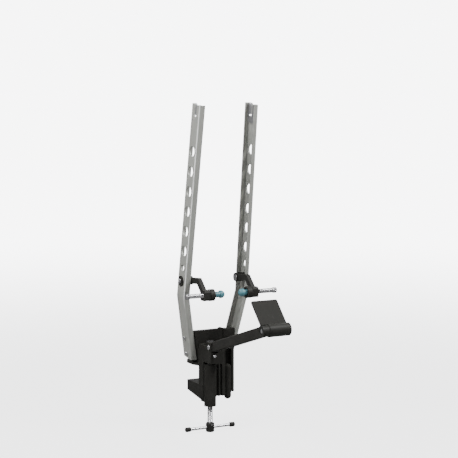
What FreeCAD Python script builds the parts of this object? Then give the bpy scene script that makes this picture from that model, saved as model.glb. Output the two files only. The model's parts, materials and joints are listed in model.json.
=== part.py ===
import FreeCAD, Part
import math
import os

# Bicycle wheel truing stand that clamps to a bench edge. Millimetres, +Z up.
# Origin: on the bench top, at its front edge, in the wheel's mid-plane.
# +X runs along the wheel axle, +Y runs into the bench, so the user stands at -Y.
# Left pieces lie at -X and are mirror images of the right ones, apart from the left
# upright, which is the right one turned half round.

CLEAR = 0.05          # radial clearance of running fits
GAP = 0.3             # clearance between moving faces that do not locate each other

# Foot pins in the housing, and the wheel axle that the leaning uprights hold above them
foot_pin_y = 20.0
foot_pin_z = 34.4
axle_height = 441.0
lean_angle = 8.4
hub_width = 100.0
axle_slot_width = 10.0
foot_pin_place = (axle_height - foot_pin_z) / math.cos(math.radians(lean_angle))
axle_setback = foot_pin_place * math.sin(math.radians(lean_angle)) - foot_pin_y

# Uprights: bent sheet channels. Heights and drops are taken along them from the foot
# pins, and places are distances below the axle.
web_outside_hub = 6.9
upright_spread_angle = 1.15
upright_return_angle = 10.9
upright_top = 17.7
bend_height = 90.0
end_drop = 23.0
upright_half_spacing = hub_width / 2 + web_outside_hub
upright_bend = foot_pin_place - bend_height
upright_end = foot_pin_place + end_drop
bend_radius = 22.0
web_width = 28.8
flange_depth = 11.0
short_flange_depth = 7.8
sheet_thickness = 2.5
corner_radius = 2.0
slot_mouth = 13.0
slot_mouth_depth = 4.0

# Pivot bolt of each caliper, the small hole above it and the row of large holes
caliper_pivot_height = 119.1
caliper_pivot_place = foot_pin_place - caliper_pivot_height
small_hole_height = 23.9
small_hole_place = caliper_pivot_place - small_hole_height
small_hole_radius = 5.75
large_hole_radius = 9.0
large_hole_first = 63.0
large_hole_count = 6
large_hole_last_height = 30.0
large_hole_row = small_hole_place - large_hole_last_height - large_hole_first
large_hole_pitch = large_hole_row / (large_hole_count - 1)

# Axle seats riveted inside the tops of the uprights
seat_width = 20.0
seat_below = 15.0
rivet_radius = 1.6
rivet_spread = 6.5
rivet_drop = 10.0

# Feet: gear sectors that make both uprights open together
foot_pin_offset = 18.0
foot_pin_radius = 4.0
foot_pin_seat = 5.0
foot_half_width = 11.3
foot_height = 19.0
foot_drop = 20.0
foot_top = foot_pin_place - foot_height
foot_bottom = foot_pin_place + foot_drop
foot_inner_depth = 14.0
foot_neck_half = 10.0
gear_teeth = 18
gear_backlash = 0.25
gear_teeth_each_side = 2
gear_pressure_angle = 20.0
gear_addendum = 0.9
gear_dedendum = 1.25
foot_washer_thickness = 0.6
foot_washer_radius = 9.0

# Bolts that hold each upright to its foot
foot_bolt_offsets = (-14.0, 14.6)
foot_bolt_places = [foot_pin_place + offset for offset in foot_bolt_offsets]
foot_bolt_radius = 2.5
foot_bolt_head_radius = 3.6
foot_bolt_head_height = 2.6
foot_bolt_length = 12.0
foot_bolt_rounding = 1.2
socket_depth = 1.4
socket_size = 4.0
small_socket_size = 3.0

# Housing between the uprights
housing_half_cavity = 12.0
housing_top = 62.5
roof_top = 57.5
roof_thickness = 4.9
roof_half_width = 34.0
housing_floor = 10.5
housing_side_clearance_top = 1.0
housing_side_clearance_low = 2.4
cover_thickness = 5.0
cover_boss_radius = 8.5
cover_boss_height = 3.0
cover_screw_radius = 1.5
cover_screw_head_radius = 2.8
cover_screw_head_height = 1.8
cover_screw_length = 16.0
cover_screw_inset = 7.0

# Rounded lug and raised pad on the top edge of the front wall
lug_x = 12.5
lug_radius = 6.0
lug_depth = 4.0
lug_drop = 3.0
pad_left = 18.0
pad_height = 14.0
pad_relief = 2.0

# Clamp jaws
jaw_root_half_width = 29.5
jaw_half_width = 35.5
jaw_flare_reach = 14.0
jaw_reach = 50.0
jaw_flare_radius = 15.0
jaw_corner_radius = 16.0
upper_jaw_thickness = 5.0
bench_thickness = 36.0
jaw_raise = 24.0
lower_jaw_half_width = 23.0
lower_jaw_reach = 62.0
lower_jaw_plate = 5.0
lower_jaw_root_depth = 27.5
lower_jaw_depth = 18.0
gusset_right = -13.0
lower_jaw_wall = 3.0
lower_jaw_heel = 9.0

# Front slab of the body
slab_right = 31.0
slab_left = 31.0
slab_depth = 17.0
slab_corner_radius = 2.0
slab_top = 36.0
slab_bottom = 54.0
slab_side_wall = 6.0
slab_side_bottom = 48.0
flute_centres = (-2.5, 4.5)
flute_width = 5.0
flute_depth = 3.5
flute_top = 4.0

# Screw post and guide post of the lower jaw
post_x = -19.3
post_y = -21.0
post_radius = 10.5
post_clearance = 0.2
post_top = 6.0
post_bottom = 68.0
post_neck_half = 6.0
neck_clearance = 1.0
guide_x = 19.3
guide_y = -13.6
guide_radius = 6.2
guide_top = 2.0
guide_bottom = 61.0
guide_neck_half = 4.0
groove_back = 6.0
groove_top = 30.0

# Clamp spindle and its tommy bar
spindle_radius = 4.8
spindle_head_radius = 7.5
spindle_head_height = 6.0
thrust_washer_thickness = 1.5
thrust_washer_radius = 8.0
jaw_nut_across_flats = 16.0
jaw_nut_height = 8.0
jaw_nut_recess = 2.0
handle_top = 98.0
handle_height = 16.0
handle_radius = 7.5
handle_chamfer = 1.2
handle_pin_radius = 1.25
handle_pin_drop = 3.0
handle_pin_recess = 0.2
tommy_radius = 2.5
tommy_length = 90.0
tommy_cap_radius = 4.2
tommy_cap_length = 10.0
tommy_cap_cover = 7.0
tommy_cap_rounding = 1.8

# Block on the front of the body that carries the gauge arm
block_left = -31.0
block_right = -5.0
block_front = -46.0
block_corner_radius = 2.5
block_bottom = 11.0
block_top = 48.0
ear_back = -31.0
ear_foot = 1.5
bridge_bottom = 32.0
bridge_top = 40.0
arm_slot_floor = 29.6
arm_slot_back = 3.0

# Gauge arm
arm_left = -28.0
arm_width = 12.0
arm_height = 17.6
arm_drop = 0.45
arm_side_clearance = 0.15
arm_pivot_y = -40.0
arm_pivot_z = 39.6
arm_pivot_radius = 3.0
arm_edge = 1.5
barrel_y = -220.5
barrel_z = 96.0
pivot_head_radius = 4.2
pivot_head_height = 2.2
pivot_head_rounding = 1.2
pivot_nut_across_flats = 10.0
pivot_nut_height = 5.0
pivot_end_recess = 0.3
stop_screw_x = -22.8
stop_screw_z = 24.5
stop_screw_radius = 2.0
stop_screw_head_radius = 2.8
stop_screw_head_height = 2.0
stop_screw_rounding = 1.0
stop_screw_length = 10.0

# Gauge barrel and blade
barrel_radius = 10.8
barrel_right = 24.0
barrel_wall = 2.5
barrel_cap = 3.0
barrel_rounding = 1.0
barrel_boss_wall = 2.5
barrel_boss_length = 8.0
blade_left = 25.0
blade_right = 24.0
blade_thickness = 3.0
blade_lean = 46.0
blade_root = 8.0
blade_length = 59.5
blade_corner = 3.0
blade_notch_gap = 1.6
barrel_screw_radius = 2.5
barrel_screw_head_radius = 4.2
barrel_screw_head_height = 2.4
barrel_screw_rounding = 1.1
barrel_screw_sink = 3.0
barrel_screw_room = 0.3

# Calipers that carry the side feelers
caliper_boss_radius = 7.6
caliper_boss_inner = 42.5
caliper_boss_gap = 0.4
caliper_nut_room = 6.1
caliper_nut_sink = 0.4
caliper_arm_inner = 43.6
caliper_arm_width = 7.1
caliper_arm_half_height = 5.2
caliper_arm_elbow = (-35.0, 156.0)
feeler_y = -58.0
feeler_z = 134.0
feeler_block_inner = 41.0
feeler_block_outer = 52.0
feeler_block_size = 18.2
feeler_block_corner = 4.5
feeler_collar_inner = 31.8
feeler_collar_radius = 10.3
feeler_groove = 1.0
caliper_bolt_radius = 3.0
friction_washer_radius = 9.3
friction_washer_thickness = 2.0
caliper_bolt_head_radius = 4.2
caliper_bolt_head_height = 2.4
caliper_nut_across_flats = 10.0
caliper_nut_height = 4.0
caliper_nut_gap = 0.1
caliper_bolt_rounding = 1.2
caliper_bolt_end = 0.3
friction_washer_chamfer = 0.6
friction_washer_gap = 0.3

# Side feelers: screwed rods with a soft tip. The right one is screwed further out.
feeler_rod_radius = 4.0
feeler_knob_inner = 77.5
feeler_knob_length = 6.5
feeler_knob_radius = 4.9
feeler_knob_rounding = 0.8
right_feeler_out = 7.0
feeler_tip_point = 10.5
feeler_tip_back = 32.3
feeler_tip_neck_radius = 5.0
feeler_tip_head_radius = 6.8
feeler_tip_head_back = 20.0
feeler_tip_socket = 14.0
feeler_tip_dome = 6.3
feeler_tip_rounding = 1.0
feeler_tip_clearance = 0.1
insert_outer = 51.5
insert_length = 8.0
insert_radius = 6.2

# Larger than the whole stand: tools that cut or keep everything on one side
FAR = 700.0

X_AXIS = FreeCAD.Vector(1, 0, 0)
Y_AXIS = FreeCAD.Vector(0, 1, 0)
Z_AXIS = FreeCAD.Vector(0, 0, 1)
ORIGIN = FreeCAD.Vector(0, 0, 0)


def box(x0, x1, y0, y1, z0, z1):
    return Part.makeBox(x1 - x0, y1 - y0, z1 - z0, FreeCAD.Vector(x0, y0, z0))


def rod_x(radius, x0, x1, y, z):
    return Part.makeCylinder(radius, x1 - x0, FreeCAD.Vector(x0, y, z), X_AXIS)


def rod_y(radius, y0, y1, x, z):
    return Part.makeCylinder(radius, y1 - y0, FreeCAD.Vector(x, y0, z), Y_AXIS)


def rod_z(radius, z0, z1, x, y):
    return Part.makeCylinder(radius, z1 - z0, FreeCAD.Vector(x, y, z0), Z_AXIS)


def polygon_face(points):
    """A flat face through 3-D points given in order."""
    corners = [FreeCAD.Vector(*p) for p in points]
    return Part.Face(Part.makePolygon(corners + [corners[0]]))


def hex_points(across_flats):
    corner = across_flats / 2 / math.cos(math.pi / 6)
    turns = [math.radians(60 * k) for k in range(6)]
    return [(corner * math.cos(a), corner * math.sin(a)) for a in turns]


def hex_x(across_flats, x0, x1, y, z):
    points = [(x0, y + a, z + b) for a, b in hex_points(across_flats)]
    return polygon_face(points).extrude(X_AXIS * (x1 - x0))


def hex_z(across_flats, z0, z1, x, y):
    points = [(x + a, y + b, z0) for a, b in hex_points(across_flats)]
    return polygon_face(points).extrude(Z_AXIS * (z1 - z0))


def union(first, *others):
    return first.fuse(list(others)).removeSplitter()


def cut(shape, *tools):
    return shape.cut(list(tools)).removeSplitter()


def mirrored(shape):
    """The left-hand copy of a right-hand shape."""
    return shape.mirror(ORIGIN, X_AXIS)


def is_upright_edge(edge, y):
    bound = edge.BoundBox
    return bound.YLength < 0.01 and bound.XLength < 0.01 and abs(bound.YMin - y) < 0.01


def upright_edges_at(solid, y):
    """The vertical edges of a solid that lie at one depth."""
    return [e for e in solid.Edges if is_upright_edge(e, y)]


def turned_about_y(shape, angle, place):
    copy = shape.copy()
    copy.rotate(ORIGIN, Y_AXIS, angle)
    copy.translate(FreeCAD.Vector(place[0], 0, place[1]))
    return copy


def on_stand(shape):
    """Moves a shape from the leaning frame, whose origin is the axle, to the stand."""
    copy = shape.copy()
    copy.rotate(ORIGIN, X_AXIS, lean_angle)
    copy.translate(FreeCAD.Vector(0, -axle_setback, axle_height))
    return copy


def stand_point(across, below):
    """Y and Z of a point of the leaning frame, given behind and below the axle."""
    lean = math.radians(lean_angle)
    y = -axle_setback + across * math.cos(lean) + below * math.sin(lean)
    z = axle_height + across * math.sin(lean) - below * math.cos(lean)
    return y, z


# ---------------------------------------------------------------- uprights

def web_normals():
    spread = math.radians(upright_spread_angle)
    back = math.radians(upright_return_angle)
    upper = FreeCAD.Vector(math.cos(spread), 0, math.sin(spread))
    lower = FreeCAD.Vector(math.cos(back), 0, -math.sin(back))
    return upper, lower


def bend_centre():
    upper, lower = web_normals()
    spread = math.radians(upright_spread_angle)
    corner_x = upright_half_spacing + upright_bend * math.tan(spread)
    corner = FreeCAD.Vector(corner_x, 0, -upright_bend)
    return corner - (upper + lower) * (bend_radius / (1 + upper.dot(lower)))


def web_x(depth, below):
    """X of the right web at a depth under its outer face, at a distance below the axle."""
    upper, lower = web_normals()
    centre = bend_centre()
    high = centre + upper * (bend_radius - depth)
    low = centre + lower * (bend_radius - depth)
    if -below > (high.z + low.z) / 2:
        return high.x - math.tan(math.radians(upright_spread_angle)) * (-below - high.z)
    return low.x - math.tan(math.radians(upright_return_angle)) * (low.z + below)


def side_band(depth_0, depth_1, half_width):
    """The bent side outline of the right upright between two depths, as wide as asked."""
    upper, lower = web_normals()
    centre = bend_centre()
    edges = []
    ends = []
    for depth in (depth_0, depth_1):
        reach = bend_radius - depth
        top = FreeCAD.Vector(web_x(depth, -upright_top), 0, upright_top)
        high = centre + upper * reach
        middle = centre + (upper + lower).normalize() * reach
        low = centre + lower * reach
        bottom = FreeCAD.Vector(web_x(depth, upright_end), 0, -upright_end)
        edges.append(Part.LineSegment(top, high).toShape())
        edges.append(Part.Arc(high, middle, low).toShape())
        edges.append(Part.LineSegment(low, bottom).toShape())
        ends.append((top, bottom))
    edges.append(Part.LineSegment(ends[0][0], ends[1][0]).toShape())
    edges.append(Part.LineSegment(ends[0][1], ends[1][1]).toShape())
    face = Part.Face(Part.Wire(Part.__sortEdges__(edges)))
    face.translate(FreeCAD.Vector(0, -half_width, 0))
    return face.extrude(Y_AXIS * (2 * half_width))


def outer_web_edges(solid):
    """The long edges of the outer web face, where the sheet turns into the flanges."""
    wanted = []
    for edge in solid.Edges:
        middle = edge.valueAt((edge.FirstParameter + edge.LastParameter) / 2)
        at_side = abs(abs(middle.y) - web_width / 2) < 0.01
        at_web = abs(middle.x - web_x(0, -middle.z)) < 1.0
        if at_side and at_web and edge.Length > bend_radius / 10:
            wanted.append(edge)
    return wanted


def axle_slot(x0, x1):
    """The axle slot with its flared mouth, cut along X."""
    half = axle_slot_width / 2
    mouth_low = upright_top - slot_mouth_depth
    slot = union(
        rod_x(half, x0, x1, 0, 0),
        box(x0, x1, -half, half, 0, upright_top + 1),
    )
    mouth = polygon_face([
        (x0, -half, mouth_low),
        (x0, half, mouth_low),
        (x0, slot_mouth / 2, upright_top + 0.01),
        (x0, -slot_mouth / 2, upright_top + 0.01),
    ])
    return union(slot, mouth.extrude(X_AXIS * (x1 - x0)))


def foot_bolt_seat(below, shape):
    """Places a bolt-like shape, built along +X from the web's outer face, on the web."""
    place = (web_x(0, below), -below)
    return turned_about_y(shape, upright_return_angle, place)


def seat_rivet_places():
    return [(-rivet_spread, -rivet_drop), (rivet_spread, -rivet_drop)]


def right_upright():
    """A channel with a short front flange and a long rear one."""
    outer = side_band(0, flange_depth, web_width / 2)
    outer = outer.makeFillet(corner_radius, outer_web_edges(outer))
    inner = side_band(sheet_thickness, flange_depth + 1, web_width / 2 - sheet_thickness)
    x0 = web_x(flange_depth, upright_end) - 1
    x1 = web_x(0, upright_bend) + 1
    front_half = box(-FAR, FAR, -FAR, 0, -FAR, FAR)
    beyond_short = side_band(short_flange_depth, flange_depth + 1, web_width)
    tools = [inner, beyond_short.common(front_half), axle_slot(x0, x1)]
    for k in range(large_hole_count):
        below = large_hole_first + k * large_hole_pitch
        tools.append(rod_x(large_hole_radius, x0, x1, 0, -below))
    tools.append(rod_x(small_hole_radius, x0, x1, 0, -small_hole_place))
    tools.append(rod_x(caliper_bolt_radius + CLEAR, x0, x1, 0, -caliper_pivot_place))
    for y, z in seat_rivet_places():
        tools.append(rod_x(rivet_radius, x0, x1, y, z))
    for below in foot_bolt_places:
        hole = rod_x(foot_bolt_radius + CLEAR, -flange_depth, 5, 0, 0)
        tools.append(foot_bolt_seat(below, hole))
    return cut(outer, *tools)


def left_upright():
    """The same part turned half round, so its short flange is at the back."""
    copy = right_upright()
    copy.rotate(ORIGIN, Z_AXIS, 180)
    return copy


def right_axle_seat():
    face_x = hub_width / 2
    outline = polygon_face([
        (face_x, -seat_width / 2, upright_top),
        (web_x(sheet_thickness, -upright_top), -seat_width / 2, upright_top),
        (web_x(sheet_thickness, seat_below), -seat_width / 2, -seat_below),
        (face_x, -seat_width / 2, -seat_below),
    ])
    seat = outline.extrude(Y_AXIS * seat_width)
    x1 = upright_half_spacing
    rivets = [rod_x(rivet_radius, face_x - 1, x1, y, z) for y, z in seat_rivet_places()]
    return cut(seat, axle_slot(face_x - 1, x1), *rivets)


def right_seat_rivets():
    rivets = []
    for y, z in seat_rivet_places():
        outer_x = web_x(0, -z) - 0.05
        rivets.append(rod_x(rivet_radius, hub_width / 2 + 0.2, outer_x, y, z))
    return Part.makeCompound(rivets)


# ---------------------------------------------------------------- feet

def gear_module():
    return 2 * foot_pin_offset / gear_teeth


def tooth_outline(centre_angle):
    """Involute tooth of the sector about the origin of the X-Z plane, as points."""
    module = gear_module()
    pitch = foot_pin_offset
    base = pitch * math.cos(math.radians(gear_pressure_angle))
    tip = pitch + module * gear_addendum
    root = pitch - module * gear_dedendum
    half_at_pitch = (math.pi * module / 2 - gear_backlash) / 2 / pitch
    involute = math.tan(math.radians(gear_pressure_angle)) - math.radians(gear_pressure_angle)
    flank = []
    steps = 5
    for k in range(steps + 1):
        radius = base + (tip - base) * k / steps
        roll = math.acos(base / radius)
        half = half_at_pitch + involute - (math.tan(roll) - roll)
        flank.append((radius, half))
    flank.insert(0, (root - 0.5, flank[0][1]))
    outline = [(r, -h) for r, h in flank] + [(r, h) for r, h in reversed(flank)]
    return [
        (r * math.cos(centre_angle + a), r * math.sin(centre_angle + a))
        for r, a in outline
    ]


def gear_sector(angles):
    """A disc with teeth at the given angles, as thick as a foot."""
    root = foot_pin_offset - gear_module() * gear_dedendum
    half = foot_half_width
    disc = rod_y(root, -half, half, 0, 0)
    teeth = []
    for angle in angles:
        points = [(x, -half, z) for x, z in tooth_outline(angle)]
        teeth.append(polygon_face(points).extrude(Y_AXIS * (2 * half)))
    return union(disc, *teeth)


def right_foot_body():
    """The right foot without teeth: channel block, neck and bore, in the leaning frame."""
    half = foot_half_width
    web = sheet_thickness + CLEAR
    channel = polygon_face([
        (web_x(web, foot_top), -half, -foot_top),
        (web_x(web, foot_bottom), -half, -foot_bottom),
        (web_x(foot_inner_depth, foot_bottom), -half, -foot_bottom),
        (web_x(foot_inner_depth, foot_top), -half, -foot_top),
    ])
    neck_outer = web_x(web + 1, foot_pin_place + foot_neck_half)
    neck = box(
        foot_pin_offset, neck_outer,
        -half, half,
        -foot_pin_place - foot_neck_half, -foot_pin_place + foot_neck_half,
    )
    return union(channel.extrude(Y_AXIS * (2 * half)), neck)


def finish_foot(body, angles):
    sector = gear_sector(angles)
    sector.translate(FreeCAD.Vector(foot_pin_offset, 0, -foot_pin_place))
    bore = rod_y(
        foot_pin_radius + CLEAR, -foot_half_width - 1, foot_half_width + 1,
        foot_pin_offset, -foot_pin_place,
    )
    tools = [bore]
    for below in foot_bolt_places:
        hole = rod_x(foot_bolt_radius, -foot_bolt_length - 1, 0, 0, 0)
        tools.append(foot_bolt_seat(below, hole))
    return cut(union(body, sector), *tools)


def tooth_angles(first_share):
    """Angles of the teeth that face the other foot; the two feet differ by half a pitch."""
    pitch = 2 * math.pi / gear_teeth
    count = gear_teeth_each_side
    return [math.pi + (k + first_share) * pitch for k in range(-count, count + 1)]


def right_foot():
    return finish_foot(right_foot_body(), tooth_angles(0.0))


def left_foot():
    return mirrored(finish_foot(right_foot_body(), tooth_angles(0.5)))


def right_foot_bolts():
    bolts = []
    for below in foot_bolt_places:
        shank = rod_x(foot_bolt_radius, -foot_bolt_length, 0, 0, 0)
        head = rod_x(foot_bolt_head_radius, 0, foot_bolt_head_height, 0, 0)
        head = head.makeFillet(foot_bolt_rounding, [outer_rim(head)])
        floor = foot_bolt_head_height - socket_depth
        socket = hex_x(small_socket_size, floor, foot_bolt_head_height + 1, 0, 0)
        bolts.append(foot_bolt_seat(below, cut(union(shank, head), socket)))
    return Part.makeCompound(bolts)


def outer_rim(solid):
    """The circular edge that lies furthest along X."""
    return max(solid.Edges, key=lambda e: e.BoundBox.XMin)


def foot_pins():
    reach = housing_half_cavity + foot_pin_seat
    pins = [
        rod_y(foot_pin_radius, -reach, reach, side * foot_pin_offset, -foot_pin_place)
        for side in (-1, 1)
    ]
    return on_stand(Part.makeCompound(pins))


def foot_washers():
    """Thin slide washers between the feet and the housing's walls."""
    washers = []
    for side in (-1, 1):
        for face in (-1, 1):
            near = face * (foot_half_width + CLEAR)
            far = face * (foot_half_width + CLEAR + foot_washer_thickness)
            y0, y1 = sorted((near, far))
            x = side * foot_pin_offset
            ring = rod_y(foot_washer_radius, y0, y1, x, -foot_pin_place)
            bore = rod_y(foot_pin_radius + CLEAR, y0 - 1, y1 + 1, x, -foot_pin_place)
            washers.append(ring.cut(bore))
    return on_stand(Part.makeCompound(washers))


# ---------------------------------------------------------------- body and cover

def housing_half_width(z):
    """Half width of the housing, kept inside the flanges of the uprights."""
    lean = math.cos(math.radians(lean_angle))
    below = (axle_height - z) / lean
    span = housing_top - housing_floor
    share = max(0.0, min(1.0, (housing_top - z) / span))
    low = housing_side_clearance_low - housing_side_clearance_top
    return web_x(flange_depth, below) - housing_side_clearance_top - low * share


def housing_outline(y):
    top = housing_half_width(housing_top)
    low = housing_half_width(housing_floor)
    return polygon_face([
        (-low, y, 0), (low, y, 0), (low, y, housing_floor),
        (top, y, housing_top), (-top, y, housing_top), (-low, y, housing_floor),
    ])


def leaning_slab(across_0, across_1):
    """Everything between two distances behind the uprights' middle plane."""
    return on_stand(box(-FAR, FAR, across_0, across_1, -FAR, FAR))


def housing_cavity():
    """Room for the feet, and everything above and beside the narrow roof."""
    roof = box(
        -roof_half_width, roof_half_width, -FAR, FAR, roof_top - roof_thickness, roof_top,
    )
    room = box(-FAR, FAR, -FAR, FAR, housing_floor, FAR).cut(roof)
    return room.common(leaning_slab(-housing_half_cavity, FAR))


def housing():
    """Front wall, a lower roof behind it, and floor; the cover closes its back."""
    prism = housing_outline(0).extrude(Y_AXIS * axle_height)
    prism = prism.common(leaning_slab(-FAR, housing_half_cavity))
    return prism.cut(housing_cavity())


def cover_screw_places():
    """X and distance below the axle of the cover's screws, in roof and floor."""
    lean = math.cos(math.radians(lean_angle))
    tilt = housing_half_cavity * math.sin(math.radians(lean_angle))
    high = (axle_height + tilt - roof_top + roof_thickness / 2) / lean
    low = (axle_height + tilt - (housing_floor + upper_jaw_thickness) / 2) / lean
    x_high = roof_half_width - cover_screw_inset
    x_low = housing_half_width(housing_floor) - cover_screw_inset
    return [(-x_high, high), (x_high, high), (-x_low, low), (x_low, low)]


def gauge_block():
    """Ears for the gauge arm and the bridge that carries the spindle's head."""
    side = polygon_face([
        (block_left, block_front, block_bottom),
        (block_left, block_front, block_top),
        (block_left, ear_back, block_top),
        (block_left, ear_back + ear_foot, bridge_top),
        (block_left, 0, bridge_top),
        (block_left, 0, block_bottom),
    ])
    block = side.extrude(X_AXIS * (block_right - block_left))
    block = block.makeFillet(block_corner_radius, upright_edges_at(block, block_front))
    slot_left = arm_left - arm_side_clearance
    slot_right = arm_left + arm_width + arm_side_clearance
    slot = box(
        slot_left, slot_right, block_front - 1, ear_back + arm_slot_back,
        arm_slot_floor, block_top + 1,
    )
    return block.cut(slot)


def front_slab():
    slab = box(-slab_left, slab_right, -slab_depth, 0, -slab_bottom, slab_top)
    slab = slab.makeFillet(slab_corner_radius, upright_edges_at(slab, -slab_depth))
    notch = box(
        slab_right - slab_side_wall, slab_right + 1,
        -slab_depth - 1, 1, -slab_bottom - 1, -slab_side_bottom,
    )
    return slab.cut(notch)


def round_topped_groove(x0, x1, y0, y1, z0, z1):
    """A vertical groove whose top end is half round, seen from the front."""
    half = (x1 - x0) / 2
    straight = box(x0, x1, y0, y1, z0, z1 - half)
    return union(straight, rod_y(half, y0, y1, (x0 + x1) / 2, z1 - half))


def body_cuts():
    """Grooves for the two posts, flutes, screw holes and the arm's pivot."""
    low = -slab_bottom - 1
    post_room = post_radius + post_clearance
    guide_room = guide_radius + post_clearance
    neck_top = -bench_thickness + jaw_raise + neck_clearance
    cuts = [
        rod_z(post_room, low, bridge_bottom, post_x, post_y),
        box(
            post_x - post_neck_half - GAP, post_x + post_neck_half + GAP,
            post_y, 1, low, neck_top,
        ),
        round_topped_groove(
            guide_x - guide_room, guide_x + guide_room,
            -slab_depth - 1, -groove_back, low, groove_top,
        ),
        box(
            guide_x - guide_neck_half - GAP, guide_x + guide_neck_half + GAP,
            guide_y, 1, low, neck_top,
        ),
        rod_z(spindle_radius + CLEAR, bridge_bottom - 1, bridge_top + 1, post_x, post_y),
        rod_x(arm_pivot_radius + CLEAR, block_left - 1, block_right + 1, arm_pivot_y, arm_pivot_z),
        hex_x(
            pivot_nut_across_flats + 2 * CLEAR, block_right - pivot_nut_height, block_right + 1,
            arm_pivot_y, arm_pivot_z,
        ),
        rod_y(
            stop_screw_radius, block_front - 1, block_front + stop_screw_length,
            stop_screw_x, stop_screw_z,
        ),
    ]
    for x in flute_centres:
        half = flute_width / 2
        cuts.append(round_topped_groove(
            x - half, x + half, -slab_depth - 1, -slab_depth + flute_depth, low, flute_top,
        ))
    return cuts


def stand_cuts():
    """Pin seats and cover screw holes, which follow the lean."""
    cuts = []
    reach = housing_half_cavity + foot_pin_seat
    for side in (-1, 1):
        cuts.append(rod_y(foot_pin_radius, -reach, 0, side * foot_pin_offset, -foot_pin_place))
    near = housing_half_cavity + cover_thickness - cover_screw_length
    for x, below in cover_screw_places():
        cuts.append(rod_y(cover_screw_radius, near, housing_half_cavity + 1, x, -below))
    return on_stand(Part.makeCompound(cuts)).Solids


def top_edge_details():
    """A rounded lug and a raised pad on the top of the front wall."""
    lug = rod_y(lug_radius, 0, lug_depth, lug_x, housing_top - lug_drop)
    top = housing_half_width(housing_top)
    pad = box(pad_left, top, -pad_relief, 0, housing_top - pad_height, housing_top)
    return lug, pad


def upper_jaw():
    """The plate on the bench: narrow at its root, flared and round-cornered behind."""
    half = [
        (jaw_root_half_width, 0), (jaw_half_width, jaw_flare_reach), (jaw_half_width, jaw_reach),
    ]
    outline = half + [(-x, y) for x, y in reversed(half)]
    plate = polygon_face([(x, y, 0) for x, y in outline]).extrude(Z_AXIS * upper_jaw_thickness)
    plate = plate.makeFillet(jaw_corner_radius, upright_edges_at(plate, jaw_reach))
    return plate.makeFillet(jaw_flare_radius, upright_edges_at(plate, jaw_flare_reach))


def clamp_body():
    body = union(housing(), front_slab(), gauge_block(), upper_jaw(), *top_edge_details())
    return cut(body, *body_cuts(), *stand_cuts())


def rear_cover():
    half = housing_half_cavity
    prism = housing_outline(0).extrude(Y_AXIS * axle_height)
    plate = prism.common(leaning_slab(half, half + cover_thickness))
    plate = plate.common(box(-FAR, FAR, -FAR, FAR, upper_jaw_thickness, roof_top))
    bosses = []
    seats = []
    outer = half + cover_thickness + cover_boss_height
    for side in (-1, 1):
        x = side * foot_pin_offset
        bosses.append(rod_y(cover_boss_radius, half + 1, outer, x, -foot_pin_place))
        seats.append(rod_y(foot_pin_radius, half - 1, half + foot_pin_seat, x, -foot_pin_place))
    for x, below in cover_screw_places():
        seats.append(rod_y(cover_screw_radius + CLEAR, half - 1, outer, x, -below))
    bosses = on_stand(Part.makeCompound(bosses)).Solids
    seats = on_stand(Part.makeCompound(seats)).Solids
    return cut(union(plate, *bosses), *seats)


def cover_screws():
    face = housing_half_cavity + cover_thickness
    screws = []
    for x, below in cover_screw_places():
        near = face - cover_screw_length + 1
        shank = rod_y(cover_screw_radius, near, face, x, -below)
        head = rod_y(cover_screw_head_radius, face, face + cover_screw_head_height, x, -below)
        screws.append(union(shank, head))
    return on_stand(Part.makeCompound(screws))


# ---------------------------------------------------------------- lower jaw and spindle

def lower_jaw_plate_solid():
    """The plate under the bench: a hollow shell, with a deep gusset on the post's side."""
    top = -bench_thickness
    root = top - lower_jaw_root_depth
    low = top - lower_jaw_depth
    half = lower_jaw_half_width
    start = GAP
    plate = box(-half, half, start, lower_jaw_reach, low, top)
    side = polygon_face([
        (-half, start, top), (-half, lower_jaw_reach, top),
        (-half, lower_jaw_reach, low), (-half, start, root),
    ])
    gusset = side.extrude(X_AXIS * (gusset_right + half))
    pockets = []
    wall = lower_jaw_wall
    for x0, x1 in ((-half + wall, -wall / 2), (wall / 2, half - wall)):
        pockets.append(box(
            x0, x1, start + lower_jaw_heel, lower_jaw_reach - wall,
            root - 1, top - lower_jaw_plate,
        ))
    return union(plate, gusset).cut(pockets)


def post_neck(x, half, y_front, z_low, z_high):
    return box(x - half, x + half, y_front, lower_jaw_wall, z_low, z_high)


def lower_jaw():
    top = -bench_thickness
    root = top - lower_jaw_root_depth
    post = rod_z(post_radius, -post_bottom, post_top, post_x, post_y)
    guide_low = -guide_bottom + guide_radius
    guide_high = guide_top - guide_radius
    guide = union(
        rod_z(guide_radius, guide_low, guide_high, guide_x, guide_y),
        Part.makeSphere(guide_radius, FreeCAD.Vector(guide_x, guide_y, guide_low)),
        Part.makeSphere(guide_radius, FreeCAD.Vector(guide_x, guide_y, guide_high)),
    )
    necks = [
        post_neck(post_x, post_neck_half, post_y, root, top),
        post_neck(guide_x, guide_neck_half, guide_y, guide_low, top),
    ]
    jaw = union(lower_jaw_plate_solid(), post, guide, *necks)
    nut_top = -post_bottom + jaw_nut_recess + jaw_nut_height
    return cut(
        jaw,
        rod_z(spindle_radius + GAP, -post_bottom - 1, post_top + 1, post_x, post_y),
        hex_z(jaw_nut_across_flats, -post_bottom - 1, nut_top, post_x, post_y),
    )


def jaw_nut():
    low = -post_bottom + jaw_nut_recess
    nut = hex_z(jaw_nut_across_flats - 2 * CLEAR, low, low + jaw_nut_height, post_x, post_y)
    return nut.cut(rod_z(spindle_radius + CLEAR, low - 1, low + jaw_nut_height + 1, post_x, post_y))


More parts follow.
